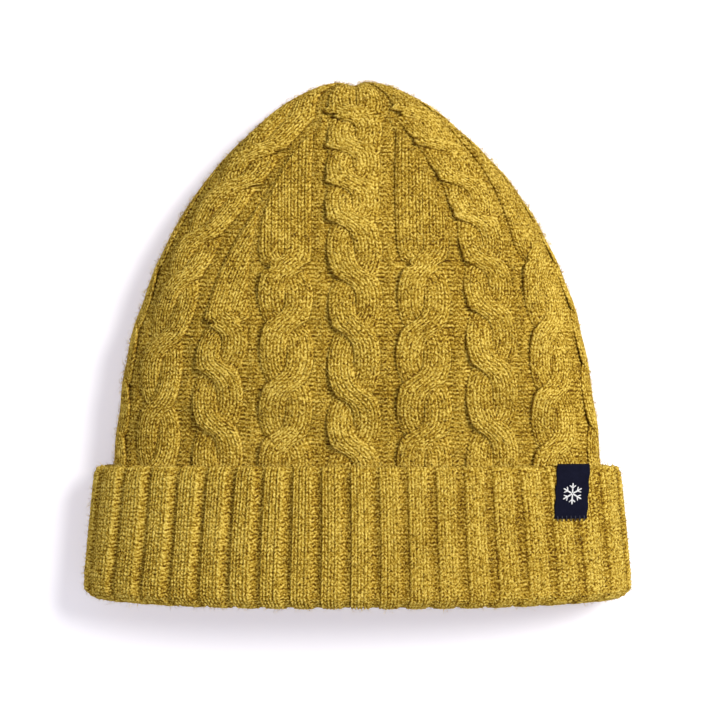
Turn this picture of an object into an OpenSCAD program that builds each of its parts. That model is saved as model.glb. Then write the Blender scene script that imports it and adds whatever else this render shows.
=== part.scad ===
// Cable-knit beanie with a turned-up rib cuff, laid flat on its back.
// +Z is up from the table, the crown points to +Y, and the mouth opens at -Y.
// The origin is on the table, at the middle of the hat's outline.
// Every shell is a row of oval rings: flatter below, where it lies, and rounder above.

/* [Body] */
// Length from the folded edge of the cuff to the tip of the crown
hat_l = 221.4; // [180:0.2:270]
// Width of the cabled body where it leaves the cuff
body_w = 206; // [170:1:250]
// Height of the puffed body off the table
body_h = 47; // [38:1:60]
// Height of the body's side fold off the table
side_z = 19; // [14:1:22]
// Height of the tip of the crown off the table
tip_z = 12; // [10:0.5:14]
// Thickness of the cabled fabric
body_t = 3.2; // [2:0.1:5]

/* [Cuff] */
// Height of the turned-up cuff, from its folded edge
cuff_h = 59; // [40:1:80]
// Thickness of the cuff's rib fabric
cuff_t = 4; // [2:0.1:5]
// Thickness of the inner rib band
band_t = 3.2; // [2:0.1:4]
// Clearance between the band and the cuff turned up over it
cuff_gap = 2.8; // [1:0.1:4]
// Extra width of the folded edge, on each side
cuff_flare = 4.8; // [0:0.2:8]

/* [Seams and yarn] */
// Width of the back seam
seam_w = 5; // [3:0.5:8]
// Height that the seam stands above the fabric inside
seam_h = 1.8; // [1:0.1:3]
// Thickness of the closing yarn
yarn_d = 2.2; // [1.5:0.1:3]
// Radius of the ring of closing yarn
gather_r = 4; // [3:0.5:6]
// Length of the yarn's fastened tail
tail_l = 16; // [8:1:30]

/* [Labels] */
// Width of the woven label
label_w = 14.6; // [10:0.2:24]
// Height of the woven label below the cuff's top edge
label_h = 21.6; // [14:0.2:30]
// Depth of the label's inner flap behind the cuff
label_flap = 9; // [5:0.5:15]
// Distance of the label's middle from the middle of the hat
label_x = 89.4; // [40:0.2:92]
// Thickness of the woven label
label_t = 0.8; // [0.6:0.1:1.2]
// Size of the figure on the label
motif_d = 9; // [5:0.5:10]
// Width of the care label
care_w = 24; // [15:1:32]
// Length of the care label
care_l = 30; // [20:1:40]
// Thickness of the folded care label
care_t = 0.8; // [0.5:0.1:1.2]

/* [Hidden] */

y_fold = -hat_l / 2;
y_tip = hat_l / 2;
y_top = y_fold + cuff_h;                  // top edge of the cuff
wrap = band_t + cuff_gap + cuff_t;        // the folded edge goes round all of this
roll = wrap / 2;                          // how far the folded edge is rounded
band_y = y_fold + roll + 0.4;             // lower edge of the band, clear of the fold
lift = cuff_gap + cuff_t;                 // the cuff holds the band this far off the table
band_up = body_h - side_z - lift - 0.6;   // height of the band above its side folds
points = 48;                              // points round a shell
front_round = 2.2;                        // roundness of the upper half, 2 is an ellipse
back_flat = 3.4;                          // flatness of the lower half
taper = 0.24;                             // share of the body's narrowing that is straight
shoulder = 2.5;                           // how late the rest of the narrowing comes
dome = 0.6;                               // roundness of the tip
bite = 0.3;                               // how far sewn pieces sink into each other
yarn_y = y_tip - body_t - yarn_d;         // where the ring of closing yarn lies
stitch_d = 0.9;
slice = 0.01;

function power(v, e) = sign(v) * pow(abs(v), e);
function mix(a, b, u) = a + (b - a) * u;
function ease(u) = let(v = min(1, max(0, u))) v * v * (3 - 2 * v);

// Point of an oval ring at angle t: half width w, side folds at z, height lo below and up above
function oval(t, y, w, z, lo, up, bottom) =
    let(e = 2 / (sin(t) < 0 ? back_flat : front_round))
    [w * power(cos(t), e), y, max(bottom, z + (sin(t) < 0 ? lo : up) * power(sin(t), e))];

// The rib: a tube of one section, grown outwards by dx at the sides and dz above and below
function rib_point(t, y, dx, dz, bottom) =
    oval(t, y, body_w / 2 + dx, side_z, side_z - lift + dz, band_up + dz, bottom);

// The body at share s of its length, grown inwards by d
function body_half(s) = body_w / 2 * pow(max(0, 1 - taper * s - (1 - taper) * pow(s, shoulder)), dome);
function body_mid(s) = mix(side_z, tip_z, pow(s, 2));
function body_up(s) =
    mix(band_up, body_h - side_z, ease(s / 0.3)) * pow(max(0, 1 - pow(s, 2.6)), 0.55);
function body_lo(s) =
    (body_mid(s) - lift * (1 - ease(s / 0.22))) * pow(max(0, 1 - pow(s, 7)), 0.5);
function body_point(t, s, d) =
    let(k = max(slice, body_half(s) - d) / max(slice, body_half(s)))
    oval(t, y_top + s * (y_tip - d - y_top), k * body_half(s), body_mid(s),
         max(slice, body_lo(s) - d), max(slice, body_up(s) - d), 0);

function ring_angles() = [for (i = [0:points - 1]) 360 * i / points];
// Heights of the inner faces of the lower half, where the seams and the care label lie
function body_floor(s) = body_point(-90, s, body_t)[2];
band_floor = lift + band_t;

// Skin over a row of rings with equal numbers of points; a closed row joins its ends
module skin(rings, closed = false) {
    n = len(rings[0]);
    m = len(rings);
    last = closed ? m - 1 : m - 2;
    sides = [for (j = [0:last], i = [0:n - 1], half = [0, 1])
        let(a = j * n + i, b = j * n + (i + 1) % n, k = (j + 1) % m,
            c = k * n + (i + 1) % n, d = k * n + i)
        half == 0 ? [a, b, c] : [a, c, d]];
    ends = closed ? [] : [[for (i = [n - 1:-1:0]) i], [for (i = [0:n - 1]) (m - 1) * n + i]];
    polyhedron(points = [for (r = rings) each r], faces = concat(sides, ends), convexity = 8);
}

// Cabled shell, open at the mouth and closed at the crown
module crown_body() {
    steps = 17;
    shares = [for (i = [0:steps]) sin(90 * i / steps) * 0.9995];
    outer = [for (s = shares) [for (t = ring_angles()) body_point(t, s, 0)]];
    inner = [for (s = shares) [for (t = ring_angles()) body_point(t, s, body_t)]];
    color("#a88431") skin(concat([for (i = [steps:-1:0]) outer[i]], inner));
}

// Inner layer of the rib, one straight tube that the cuff can pass over
module rib_band() {
    corners = [[band_y, 0], [y_top, 0], [y_top, -band_t], [band_y, -band_t]];
    color("#9a772c") skin([for (c = corners)
        [for (t = ring_angles()) rib_point(t, c[0], c[1], c[1], 0)]], closed = true);
}

// Profile of the turned-up cuff: distance from the fold, growth from the band, share of the flare
function fold_arc() = [for (a = [0:30:180]) let(u = (1 + cos(a)) / 2)
    [roll * (1 - sin(a)), mix(-band_t, lift, u), u]];
function cuff_profile() = concat(
    [for (u = [0:0.25:1]) let(y = mix(cuff_h - 2, roll + 3, u)) [y, lift, 1 - y / cuff_h]],
    fold_arc(),
    [for (u = [0:0.5:1]) let(y = mix(roll, cuff_h, u)) [y, cuff_gap, 0.8 * (1 - y / cuff_h)]],
    [[cuff_h, lift - 1.2, 0]]);

module cuff() {
    color("#a4802f") skin([for (p = cuff_profile())
        let(inside = p[1] < lift && p[0] > roll - slice && p[1] >= cuff_gap)
        [for (t = ring_angles()) rib_point(t, y_fold + p[0], p[1] + cuff_flare * p[2],
                                           p[1] + 0.3 * cuff_flare * p[2], inside ? cuff_t : 0)]],
        closed = true);
}

// A low ridge along the inside of the back, from point to point
module ridge(route, w, h) {
    skin([for (p = route) [for (a = [0:45:315]) [p[0] + w / 2 * cos(a), p[1], p[2] + h * sin(a)]]]);
}

// Seam up the back of the body and the band, sunk into the fabric
module back_seam() {
    body_part = [for (i = [0:12]) let(s = 0.04 + 0.86 * i / 12)
        [0, y_top + s * (y_tip - body_t - y_top), body_floor(s)]];
    color("#8f6e28") ridge(concat([[0, band_y + 1, band_floor], [0, y_top - 3, band_floor]],
                                  body_part), seam_w, seam_h);
}

// Seam of the cuff, on the face that is turned in towards the band
module cuff_seam() {
    color("#8f6e28") ridge([for (u = [0:0.5:1])
        [0, mix(y_fold + roll + 2, y_top - 2, u), cuff_t - bite]], seam_w, bite + cuff_gap / 2);
}

// Label: a strip that runs down the cuff's face from a fold over its top edge
function label_angle(x) = acos(pow(x / (body_w / 2 + lift), front_round / 2));
function label_path() = let(r = label_t / 2 - bite) concat(
    [for (u = [0:0.25:1]) [mix(cuff_h - label_h, cuff_h - 1.5, u), lift + r, 1 - u]],
    [for (a = [20:35:160]) [cuff_h - 0.4 + (label_t + 0.4) * sin(a),
                            mix(cuff_gap - r, lift + r, (1 + cos(a)) / 2), 0]],
    [[cuff_h - 2, cuff_gap - r, 0], [cuff_h - label_flap, cuff_gap - r, 0]]);
module label() {
    angles = [for (k = [0:4]) label_angle(mix(label_x + label_w / 2, label_x - label_w / 2, k / 4))];
    route = label_path();
    rows = [for (i = [0:len(route) - 1])
        let(p = route[i], a = route[max(0, i - 1)], b = route[min(len(route) - 1, i + 1)],
            run = norm([b[0] - a[0], b[1] - a[1]]),
            ny = -(b[1] - a[1]) / run * label_t / 2, nr = (b[0] - a[0]) / run * label_t / 2,
            flare = cuff_flare * (1 - p[0] / cuff_h) * (p[1] > cuff_gap ? 1 : 0.8))
        concat([for (t = angles) label_point(t, p[0] + ny, p[1] + nr, flare)],
               [for (k = [4:-1:0]) label_point(angles[k], p[0] - ny, p[1] - nr, flare)])];
    color("#23242c") skin(rows);
}
function label_point(t, y, r, flare) = rib_point(t, y_fold + y, r + flare, r + 0.3 * flare, 0);

// Puts a flat thing on the label's face, v below the cuff's top edge
module on_label(v, depth) {
    y = cuff_h - v;
    flare = cuff_flare * (1 - y / cuff_h);
    face = lift + label_t - bite;
    a = label_point(label_angle(label_x - 3), y, face, flare);
    b = label_point(label_angle(label_x + 3), y, face, flare);
    translate((a + b) / 2 - [0, 0, depth])
        rotate([0, atan2(a[2] - b[2], b[0] - a[0]), 0]) children();
}

// Six-armed snowflake
module label_motif() {
    arm = motif_d / 2;
    bar = 0.7;
    color("#d9d9dc") on_label(label_h * 0.52, bite) linear_extrude(2 * bite)
        for (a = [0:60:300]) rotate(a) {
            translate([-bar / 2, 0]) square([bar, arm]);
            for (side = [-1, 1]) translate([0, arm * 0.55]) rotate(side * 50)
                translate([-bar / 2, 0]) square([bar, arm * 0.38]);
        }
}

// Short bars of thread along the label's lower edge
module label_stitches() {
    count = 5;
    pitch = label_w / count;
    color("#1a1a20") for (i = [0:count - 1])
        on_label(label_h - 1.2, stitch_d / 4)
            translate([(i - (count - 1) / 2) * pitch, 0, 0]) rotate([0, 90, 0])
                cylinder(d = stitch_d, h = pitch * 0.6, center = true, $fn = 16);
}

// Ring of closing yarn, drawn tight inside the tip
module crown_yarn() {
    color("#8f6e28") translate([0, yarn_y, tip_z]) rotate([90, 0, 0])
        rotate_extrude($fn = 32) translate([gather_r, 0]) circle(d = yarn_d, $fn = 16);
}

// Knot on the ring
module crown_knot() {
    color("#8f6e28") translate([gather_r, yarn_y, tip_z]) sphere(d = 2 * yarn_d, $fn = 24);
}

// Tail of the closing yarn, from the knot down on to the inside of the back
module crown_tail() {
    body_l = y_tip - body_t - y_top;
    start = (yarn_y - 3 * yarn_d - y_top) / body_l;
    laid = [for (i = [0:4]) let(s = start - tail_l / body_l * i / 4)
        [gather_r + seam_w / 2, y_top + s * body_l, body_floor(s) + yarn_d / 2 - bite]];
    color("#8f6e28") ridge(concat([[gather_r, yarn_y - yarn_d / 2, tip_z]], laid), yarn_d, yarn_d / 2);
}

// Folded care label, lying beside the seam inside the band
module care_place() {
    translate([seam_w / 2 + 2, band_y + (y_top - band_y - care_l) / 2, band_floor - bite])
        children();
}
module care_label() {
    color("#efefec") care_place() cube([care_w, care_l, care_t + bite]);
}
module care_stitches() {
    color("#d9d9dc") care_place() for (x = [0.2, 0.5, 0.8])
        translate([care_w * x, care_l - 2, care_t + bite]) rotate([0, 90, 0])
            cylinder(d = stitch_d, h = care_w * 0.2, center = true, $fn = 16);
}

crown_body();
rib_band();
cuff();
label();
label_motif();
label_stitches();
back_seam();
cuff_seam();
crown_yarn();
crown_knot();
crown_tail();
care_label();
care_stitches();
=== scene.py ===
"""Cable-knit beanie with a turned-up rib cuff, lying flat on a table.

Lengths are in millimetres until a mesh is made. The knit is built stitch by stitch: every strand of a
cable, every purl gutter and every rib is a grid whose rows follow the courses of the fabric."""
import math

import bmesh
import bpy
import numpy as np
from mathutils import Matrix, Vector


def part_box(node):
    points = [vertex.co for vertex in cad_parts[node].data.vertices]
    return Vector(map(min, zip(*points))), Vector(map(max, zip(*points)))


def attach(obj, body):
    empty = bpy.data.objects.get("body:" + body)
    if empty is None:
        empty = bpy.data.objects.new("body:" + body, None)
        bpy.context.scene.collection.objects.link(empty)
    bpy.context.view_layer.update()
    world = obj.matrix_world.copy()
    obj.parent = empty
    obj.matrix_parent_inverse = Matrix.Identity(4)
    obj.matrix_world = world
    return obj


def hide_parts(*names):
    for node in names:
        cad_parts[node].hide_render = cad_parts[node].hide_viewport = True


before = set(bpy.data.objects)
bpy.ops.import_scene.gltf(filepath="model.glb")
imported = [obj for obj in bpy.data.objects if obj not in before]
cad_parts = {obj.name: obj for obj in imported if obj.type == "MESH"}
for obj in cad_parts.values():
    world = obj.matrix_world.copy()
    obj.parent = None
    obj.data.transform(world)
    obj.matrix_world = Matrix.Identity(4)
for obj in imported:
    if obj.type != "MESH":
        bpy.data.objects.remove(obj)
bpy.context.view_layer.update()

MM = 0.001


def box_mm(node):
    """Lowest and highest corner of a node of the frame, in millimetres."""
    return [np.array(corner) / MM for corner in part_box(node)]


# ---------------------------------------------------------------- sizes, from the frame
BODY_HI = box_mm("crown_body")[1]
BAND_LO, BAND_HI = box_mm("rib_band")
CUFF_LO, CUFF_HI = box_mm("cuff")

Y_FOLD = CUFF_LO[1]                  # folded edge of the cuff
Y_TOP = CUFF_HI[1]                   # top edge of the cuff, where the cables start
Y_TIP = BODY_HI[1]                   # tip of the crown
CUFF_H = Y_TOP - Y_FOLD
LIFT = BAND_LO[2]                    # the cuff holds the band this far off the table
SIDE_Z = 19.0                        # height of the side folds
BAND_UP = BAND_HI[2] - SIDE_Z        # height of the band above its side folds
BAND_HALF = BAND_HI[0]
BODY_T = 3.2                         # thickness of the cabled fabric
BAND_T = 3.2                         # thickness of the inner band
CUFF_T = 4.0                         # thickness of the cuff's fabric
CUFF_GAP = LIFT - CUFF_T             # room between the band and the cuff
ROLL = (BAND_T + LIFT) / 2           # how far the folded edge is rounded
FLARE = CUFF_HI[0] - BAND_HALF - LIFT

FRONT_ROUND = 2.2                    # roundness of the upper half of a section
BACK_FLAT = 3.4                      # flatness of the lower half
TAPER, SHOULDER, DOME = 0.24, 2.5, 0.6
TIP_Z = 12.0

LABEL_LO = box_mm("label")[0]
MOTIF_LO, MOTIF_HI = box_mm("label_motif")
CARE_LO, CARE_HI = box_mm("care_label")
RING_LO, RING_HI = box_mm("crown_yarn")
KNOT_LO, KNOT_HI = box_mm("crown_knot")
LABEL_X = 90.0                       # middle of the label's upper edge
LABEL_LEAN = 1.3                     # its lower edge lies this far further left
LABEL_SET = 0.65                     # and its middle half as far
PRESS_OUT = 2.6                      # the ribs are pressed flat this far past its sides
LABEL_W, LABEL_H, LABEL_FLAP = 13.8, Y_TOP - LABEL_LO[1], 9.0
CARE_W, CARE_L = CARE_HI[0] - CARE_LO[0], CARE_HI[1] - CARE_LO[1]
SEAM_W = 5.0

# ---------------------------------------------------------------- gauge of the knitting
COURSE = 1.75                        # height of one stitch
ROWS = 4                             # rows of vertices in a stitch
COLUMN = 28.6                        # width of a cable and the purl gutter beside it
GUTTER = 5.4                         # width of the purl gutter
CABLE = COLUMN - GUTTER
RIBS = 40                            # ribs round the cuff
KNIT_RIB, PURL_RIB = 7.9, 3.9        # widths of a rib's raised and sunken parts
TUCK = 6.0                           # the cables start this far behind the cuff's top edge
SEED = 11


def ease(u):
    """Smooth step from 0 to 1."""
    u = np.clip(u, 0.0, 1.0)
    return u * u * (3.0 - 2.0 * u)


def mix(a, b, u):
    """a where u is 0 and b where it is 1."""
    return a + (b - a) * u


def power(v, e):
    """v to the power e, keeping its sign."""
    return np.sign(v) * np.abs(v) ** e


def unit(v):
    """Vectors scaled to length 1."""
    return v / np.maximum(np.linalg.norm(v, axis=-1, keepdims=True), 1e-9)


def run_along(path):
    """Distance along a path of points to each of them."""
    return np.concatenate([[0.0], np.cumsum(np.linalg.norm(np.diff(path, axis=0), axis=1))])


def ripple(*coords, seed=0, size=30.0):
    """Slow, smooth unevenness between -1 and 1, about size millimetres across."""
    rng = np.random.default_rng(SEED + seed)
    total = 0.0
    for _ in range(5):
        turns = rng.uniform(-1.0, 1.0, len(coords))
        turns *= rng.uniform(0.6, 1.5) / max(np.linalg.norm(turns), 0.1)
        total = total + np.sin(sum(c * k for c, k in zip(coords, turns)) * 2 * math.pi / size
                               + rng.uniform(0.0, 6.28))
    return total / 3.0


# ---------------------------------------------------------------- the hat's form
def oval(t, half, mid, lo, up):
    """Point of a section at angle t: rounder above the side folds, flatter below."""
    below = np.sin(t) < 0
    e = 2.0 / np.where(below, BACK_FLAT, FRONT_ROUND)
    return half * power(np.cos(t), e), mid + np.where(below, lo, up) * power(np.sin(t), e)


class Form:
    """A tube of oval sections that a fabric is laid on. Places on it are found by f, the share of the
    way from the middle of the front (0) past the side fold (0.5) to the middle of the back (1), and by
    sigma, the distance along the middle of the front."""

    STEPS = 240                      # even steps on each half of a section
    SAMPLES = 1500                   # fine steps that they are measured with

    def __init__(self, sections):
        """sections is a list of (y, half, mid, lo, up)."""
        angles = [np.linspace(math.pi / 2, 0, self.SAMPLES), np.linspace(0, -math.pi / 2, self.SAMPLES)]
        xs, zs, lengths = [], [], []
        for y, half, mid, lo, up in sections:
            row_x, row_z, row_l = [], [], []
            for t in angles:
                x, z = oval(t, half, mid, lo, up)
                run = np.concatenate([[0.0], np.cumsum(np.hypot(np.diff(x), np.diff(z)))])
                even = np.linspace(0, run[-1], self.STEPS + 1)
                row_x.append(np.interp(even, run, x))
                row_z.append(np.interp(even, run, z))
                row_l.append(run[-1])
            xs.append(np.concatenate([row_x[0], row_x[1][1:]]))
            zs.append(np.concatenate([row_z[0], row_z[1][1:]]))
            lengths.append(row_l)
        self.x, self.z = np.array(xs), np.array(zs)
        self.y = np.array([s[0] for s in sections])
        self.lengths = np.array(lengths)
        top = np.hypot(np.diff(self.y), np.diff(self.z[:, 0]))
        self.sigma = np.concatenate([[0.0], np.cumsum(top)])
        place = np.stack([self.x, np.repeat(self.y[:, None], self.x.shape[1], 1), self.z], -1)
        along = np.gradient(place, axis=0)
        round_ = np.gradient(place, axis=1)
        self.table = np.concatenate([place, unit(np.cross(round_, along))], -1)

    def row(self, sigma):
        return np.interp(sigma, self.sigma, np.arange(len(self.y)))

    def y_at(self, sigma):
        return np.interp(sigma, self.sigma, self.y)

    def sigma_at(self, y):
        return np.interp(y, self.y, self.sigma)

    def at(self, f, sigma, height, side=1.0):
        """Points at height above the form, on the right (side 1) or the left (side -1)."""
        k = np.clip(self.row(sigma), 0, len(self.y) - 1.001)
        m = np.clip(np.abs(f) * 2 * self.STEPS, 0, 2 * self.STEPS - 0.001)
        k0, m0 = k.astype(int), m.astype(int)
        dk, dm = (k - k0)[..., None], (m - m0)[..., None]
        t = self.table
        got = ((t[k0, m0] * (1 - dm) + t[k0, m0 + 1] * dm) * (1 - dk)
               + (t[k0 + 1, m0] * (1 - dm) + t[k0 + 1, m0 + 1] * dm) * dk)
        point = got[..., :3] + unit(got[..., 3:]) * np.asarray(height)[..., None]
        point[..., 0] *= side
        return point


SKIN = 1.0                           # the cables' crests stand this far out of the form
REST = 2.4                           # and lift the back this far off the table


def body_section(s):
    """Section of the body at share s of its length."""
    half = BAND_HALF * max(0.0, 1 - TAPER * s - (1 - TAPER) * s**SHOULDER) ** DOME
    mid = mix(SIDE_Z, TIP_Z, s * s)
    grown = mix(BAND_UP, BODY_HI[2] - SIDE_Z, float(ease(s / 0.3)))
    up = grown * max(0.0, 1 - s**2.6) ** 0.55
    lo = (mid - LIFT * (1 - float(ease(s / 0.22)))) * max(0.0, 1 - s**7) ** 0.5
    tip = float(ease((1.0 - s) / 0.04))
    return (mix(Y_TOP, Y_TIP - SKIN, s), max(half - SKIN, 0.02), mid,
            max(lo - REST * tip, 0.02), max(up - SKIN * tip, 0.02))


def tucked(y):
    """Section of the body where it runs down behind the cuff."""
    return (y, *body_section(0.0)[1:])


BODY = Form([tucked(Y_TOP - TUCK), tucked(Y_TOP - TUCK / 2)]
            + [body_section(0.9995 * math.sin(a)) for a in np.linspace(0, math.pi / 2, 200)])
COURSES = int(BODY.sigma[-1] / COURSE)


# ---------------------------------------------------------------- the cables' layout
# Columns are counted from the one in the middle of the front, 0, to 8 in the middle of the back, and
# to the left with a minus. Some narrow away in the crown: (start, end, shape, side they are cut from).
NARROWING = {1: (15, 94, 2.75, 1), -1: (15, 94, 2.75, -1), -2: (-10, 68, 1.35, 1), 3: (25, 96, 2.5, 1),
             -4: (10, 94, 2.0, -1), 5: (15, 94, 2.75, 1), -5: (15, 92, 2.5, 1), 7: (15, 94, 2.75, 1),
             -7: (15, 94, 2.75, -1)}
# Heights above the rib at which the strands of each column cross; other columns take those of a
# neighbour of their kind.
CROSSINGS = {0: (8, 30, 57, 79, 102, 118, 133, 146), 2: (16, 42, 65, 85, 103, 119, 134, 147),
             1: (13, 35, 58, 83), -1: (12, 35, 60, 82), -2: (17, 40, 59),
             3: (8, 32, 58, 85), -3: (25, 52, 78, 96, 117, 131)}
RIGHT, LEFT = list(range(0, 9)), list(range(0, -9, -1))


def column_width(c, y):
    """Width of column c where the body is at y."""
    c = 8 if c == -8 else c
    if c not in NARROWING:
        return np.full_like(y, COLUMN)
    start, end, shape, _ = NARROWING[c]
    return COLUMN * 1.04 * (1 - np.clip((y - start) / (end - start), 0, 1) ** shape)


def centres(columns):
    """Distance of each column's middle from the middle of the front, for every row of the body."""
    found = {columns[0]: np.zeros_like(BODY.y)}
    for a, b in zip(columns, columns[1:]):
        found[b] = found[a] + (column_width(a, BODY.y) + column_width(b, BODY.y)) / 2
    return found


TO_RIGHT, TO_LEFT = centres(RIGHT), centres(LEFT)
CENTRE = {**{c: -n for c, n in TO_LEFT.items()}, **TO_RIGHT}
SPAN = {1: (TO_RIGHT[4], TO_RIGHT[8] - TO_RIGHT[4]), -1: (TO_LEFT[-4], TO_LEFT[-8] - TO_LEFT[-4])}
SHIFT = -1.6                         # the middle cable lies this far left of the hat's middle


def crowd(n, natural, room):
    """Squeezes natural widths into the room there is, most of all towards the side folds."""
    r = np.clip(room / natural, 0.01, 0.995)
    q = np.clip(0.9 * r / (1 - r), 0.05, 2.0)
    return n * (1 - (1 - r) * np.clip(n / natural, 0, 1) ** q)


def on_body(n, sigma, height):
    """Points on the body, n being the natural distance round it from the middle of the front."""
    k = BODY.row(sigma)
    rows = np.arange(len(BODY.y))
    spans = {side: [np.interp(k, rows, part) for part in SPAN[side]] for side in SPAN}
    up_r, low_r = spans[1]
    up_l, low_l = spans[-1]
    round_all = up_r + low_r + up_l + low_l
    n = np.where(n > up_r + low_r, n - round_all, n)
    n = np.where(n < -(up_l + low_l), n + round_all, n)
    right = n >= 0
    up, low = np.where(right, up_r, up_l), np.where(right, low_r, low_l)
    room_up = np.interp(k, rows, BODY.lengths[:, 0])
    room_low = np.interp(k, rows, BODY.lengths[:, 1])
    m = np.abs(n)
    front = 0.5 * crowd(m, up, room_up) / room_up
    back = 1 - 0.5 * crowd(np.maximum(up + low - m, 0), low, room_low) / room_low
    tight = np.clip(room_up / up, 0.1, 1.0)
    f = np.where(m <= up, front, back)
    worn = 1 - 0.72 * np.exp(-((f - 0.5) / 0.065) ** 2) * (height > -2)
    point = BODY.at(f, sigma, height * worn * tight**0.35, 1.0)
    point[..., 0] *= np.where(right, 1.0, -1.0)
    point[..., 0] += SHIFT * ease((np.abs(BODY.y_at(sigma)) + 60) / 120) * (1 - np.abs(point[..., 0]) / 110)
    return settle(point)


def settle(point):
    """The slack of a real hat: slow waves in the fabric, a dip at the tip, and a back pressed flat."""
    x, y, z = point[..., 0], point[..., 1], point[..., 2]
    wave = ripple(x, y, z, seed=1, size=55.0) * 0.9
    point[..., 0] += wave * np.clip((y - Y_TOP) / 40, 0, 1) * 0.8
    point[..., 2] += ripple(x, y, seed=2, size=48.0) * 0.9 * np.clip((y - Y_TOP) / 40, 0, 1)
    dip = np.exp(-((x + 1.9) / 4.0) ** 2) * ease((y - (Y_TIP - 12)) / 12)
    point[..., 1] += 1.4 * ease((y - (Y_TIP - 25)) / 25) - 2.6 * dip
    point[..., 2] = pressed(point[..., 2])
    return point


def pressed(z):
    """Flattens what would sink into the table."""
    return np.where(z < 1.0, 0.12 + 0.88 * np.exp(np.minimum(z - 1.0, 0) / 0.88), z)


# ---------------------------------------------------------------- stitches
KNIT_H, PURL_H = 0.72, 0.50          # relief of knit and purl stitches
TILT = 0.8                           # how far the legs of a knit stitch rise, in stitches
LEGS = 6                             # columns of vertices in a knit stitch
PURL_STEPS = 8                       # columns of vertices across a rib's sunken part
PER_RIB = 3 * LEGS + PURL_STEPS      # and across a whole rib


def off_middle(q):
    """0 in the middle of a wale, where the stitch's legs meet, and 1 at its edges."""
    return np.abs(2 * (q - np.floor(q + 1e-9)) - 1)


def knit_relief(q, v):
    """Two leaning legs with a groove between the wales, higher in the middle of each stitch."""
    leg = np.interp(off_middle(q), [0, 0.3, 0.65, 0.9, 1], [0.1, 0.8, 1.0, 0.4, -0.55])
    loop = np.abs(np.sin(math.pi * v)) ** 0.7
    loose = 0.24 * (stitch_chance(q, v, 7) - 0.5)
    return KNIT_H * (np.where(leg > 0, leg * (0.3 + 0.7 * loop), leg) + loose)


def purl_relief(q, v):
    """Curved ridges across the wale."""
    return PURL_H * np.cos(2 * math.pi * (v + 0.22 * np.cos(2 * math.pi * q)))


def stitch_chance(q, v, seed):
    """A fixed random value for each stitch."""
    a = np.floor(q + 1e-6).astype(int)
    b = np.floor(v + 1e-6).astype(int)
    return np.modf(np.abs(np.sin(a * 12.9898 + b * 78.233 + seed * 37.719) * 43758.5453))[0]


# ---------------------------------------------------------------- meshes
def grid_mesh(name, point, shade, gauge, around=False, along=False, caps=False, patch=(0, 1), bundle=0):
    """A grid whose vertices are moved to point[row, column]. Around joins the last column to the first,
    along the last row to the first. shade is each vertex's painted shade, lighter where its relief is high,
    and its chance, gauge its place in stitches, which the yarn's material follows. patch says which share of
    the bake map it fills, and bundle cuts the grid after every so many rows."""
    rows, columns = point.shape[:2]
    bm = bmesh.new()
    bmesh.ops.create_grid(bm, x_segments=columns - 1, y_segments=rows - 1, size=1)
    me = bpy.data.meshes.new(name)
    bm.to_mesh(me)
    bm.free()
    me.vertices.foreach_set("co", (point.reshape(-1, 3) * MM).ravel())
    corner = np.empty(len(me.loops), dtype=np.int32)
    me.loops.foreach_get("vertex_index", corner)
    row, column = corner // columns, corner % columns
    across = np.stack([(patch[0] + (column + 0.5) / columns) / patch[1], (row + 0.5) / rows], -1)
    if bundle:
        tiles = math.ceil(math.sqrt(rows / bundle))
        one, ring = row // bundle, row % bundle
        across = np.stack([(one % tiles + (column + 0.5) / columns) / tiles,
                           (one // tiles + (ring + 0.5) / bundle) / tiles], -1)
    sheet = me.uv_layers.new(name="OFBake")
    sheet.data.foreach_set("uv", across.astype(np.float32).ravel())
    stitch = me.uv_layers.new(name="Stitch")
    stitch.data.foreach_set("uv", gauge.reshape(-1, 2)[corner].astype(np.float32).ravel())
    tint = me.color_attributes.new("Yarn", "FLOAT_COLOR", "POINT")
    values = np.ones((rows * columns, 4), dtype=np.float32)
    values[:, :2] = shade.reshape(-1, 2)
    tint.data.foreach_set("color", values.ravel())
    close(me, rows, columns, around, along, caps, bundle)
    return me


def close(me, rows, columns, around, along, caps, bundle):
    """Joins a grid's opposite edges and closes what stays open."""
    bm = bmesh.new()
    bm.from_mesh(me)
    if bundle:
        between = [f for f in bm.faces if f.index // (columns - 1) % bundle == bundle - 1]
        bmesh.ops.delete(bm, geom=between, context="FACES")
    bm.verts.ensure_lookup_table()
    weld = {}
    if around:
        weld.update({bm.verts[r * columns + columns - 1]: bm.verts[r * columns] for r in range(rows)})
    if along:
        last = (rows - 1) * columns
        weld.update({bm.verts[last + c]: bm.verts[c % (columns - 1) if around else c]
                     for c in range(columns)})
    bmesh.ops.weld_verts(bm, targetmap=weld)
    if caps:
        bmesh.ops.holes_fill(bm, edges=[e for e in bm.edges if e.is_boundary], sides=0)
    if bm.calc_volume(signed=True) < 0:
        bmesh.ops.reverse_faces(bm, faces=bm.faces[:])
    bm.to_mesh(me)
    bm.free()


def add_piece(name, meshes, material, body, slot, *replaced):
    """Joins meshes into one piece that rides on a body and stands for CAD nodes."""
    bm = bmesh.new()
    for me in meshes:
        bm.from_mesh(me)
    joined = bpy.data.meshes.new(name)
    bm.to_mesh(joined)
    bm.free()
    for me in meshes:
        bpy.data.meshes.remove(me)
    joined.shade_smooth()
    obj = bpy.data.objects.new(name, joined)
    bpy.context.scene.collection.objects.link(obj)
    joined.materials.append(material)
    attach(obj, body)
    if replaced:
        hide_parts(*replaced)
    return obj


# ---------------------------------------------------------------- cables
CREST, TURN = 2.0, 1.15              # dome of a strand, and how far it rises over the other
SINK = 0.6                           # a strand's edge starts this far down
SNAP = 1.4                           # how sharply the strands change sides
GROUND = -0.65                       # the purl gutters lie this far down
INSIDE_ROWS = 60                     # rows of vertices on the plain inner side


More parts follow.
